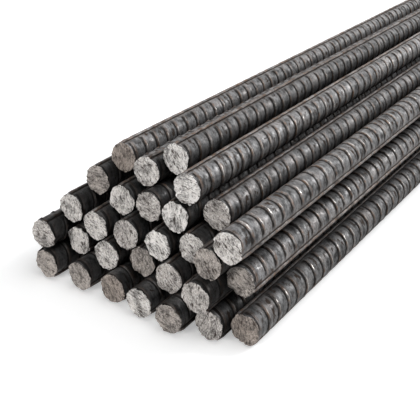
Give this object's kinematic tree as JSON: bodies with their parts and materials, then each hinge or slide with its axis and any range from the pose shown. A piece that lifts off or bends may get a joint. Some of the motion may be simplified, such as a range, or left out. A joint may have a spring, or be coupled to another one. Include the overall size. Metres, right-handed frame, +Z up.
{
  "type": "rebar bundle",
  "caption": "Bundle of straight ribbed steel reinforcing bars stacked loose in staggered rows, each a separate length with long ribs and sheared ends.",
  "frame": {"origin": "middle of the heap's bounding box at floor level", "axes": "+Y along the bars, away from the end that the picture shows, +X to the right across the heap as seen from that end, +Z up"},
  "size_m": [0.2192, 3.0714, 0.1223],
  "materials": {
    "bar_steel": "dark hot-rolled mill scale with light rust on the ribs"
  },
  "bodies": {
    "root": {"fifth_row_bar_1": "bar_steel", "fifth_row_bar_2": "bar_steel", "fifth_row_bar_3": "bar_steel", "floor_bar_1": "bar_steel", "floor_bar_2": "bar_steel", "floor_bar_3": "bar_steel", "floor_bar_4": "bar_steel", "floor_bar_5": "bar_steel", "floor_bar_6": "bar_steel", "floor_bar_7": "bar_steel", "fourth_row_bar_1": "bar_steel", "fourth_row_bar_2": "bar_steel", "fourth_row_bar_3": "bar_steel", "fourth_row_bar_4": "bar_steel", "fourth_row_bar_5": "bar_steel", "second_row_bar_1": "bar_steel", "second_row_bar_2": "bar_steel", "second_row_bar_3": "bar_steel", "second_row_bar_4": "bar_steel", "second_row_bar_5": "bar_steel", "second_row_bar_6": "bar_steel", "second_row_bar_7": "bar_steel", "third_row_bar_1": "bar_steel", "third_row_bar_2": "bar_steel", "third_row_bar_3": "bar_steel", "third_row_bar_4": "bar_steel", "third_row_bar_5": "bar_steel", "third_row_bar_6": "bar_steel", "third_row_bar_7": "bar_steel", "top_bar": "bar_steel"}
  },
  "joints": []
}
